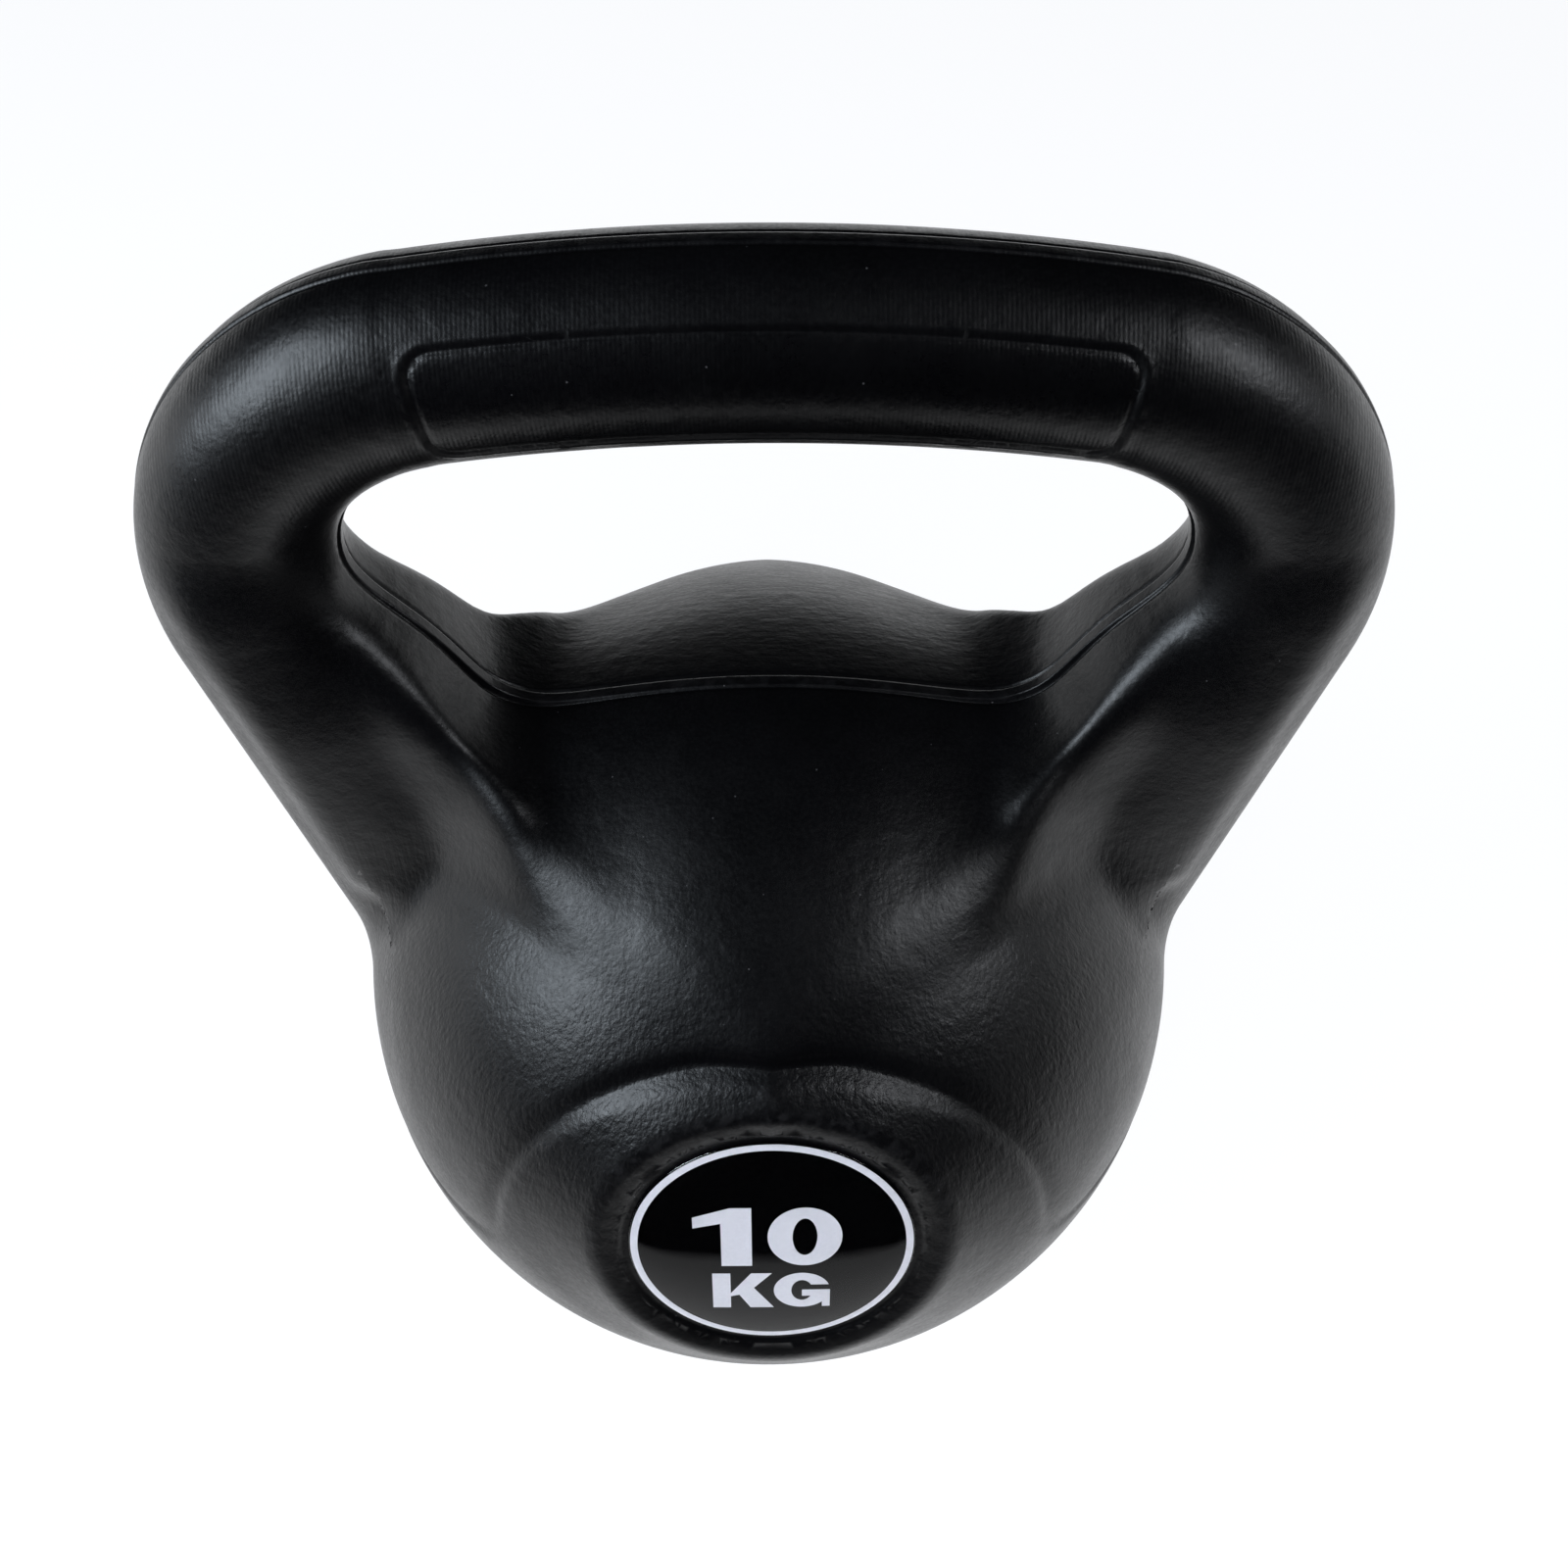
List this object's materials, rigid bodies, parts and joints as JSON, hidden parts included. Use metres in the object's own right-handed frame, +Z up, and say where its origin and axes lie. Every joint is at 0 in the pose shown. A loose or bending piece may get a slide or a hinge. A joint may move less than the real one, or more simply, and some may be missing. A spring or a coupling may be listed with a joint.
{
  "type": "kettlebell",
  "caption": "Cement-filled plastic kettlebell: round ball with a flat foot, leaning horns, arched round grip and domed round weight labels in dished seats.",
  "frame": {"origin": "centre of the base, on the floor", "axes": "+Z up, X along the grip, -Y towards the front label"},
  "size_m": [0.23, 0.2, 0.282],
  "materials": {
    "shell_plastic": "satin",
    "cement": "matte",
    "rod_steel": "mill",
    "plug_plastic": "satin",
    "label_film": "gloss",
    "label_ink": "satin",
    "clear_resin": "clear gloss"
  },
  "bodies": {
    "root": {"shell": "shell_plastic", "cement_filling": "cement", "handle_rod": "rod_steel", "filler_plug": "plug_plastic", "front_label_film": "label_film", "front_label_print": "label_ink", "front_label_dome": "clear_resin", "rear_label_film": "label_film", "rear_label_print": "label_ink", "rear_label_dome": "clear_resin"}
  },
  "joints": []
}
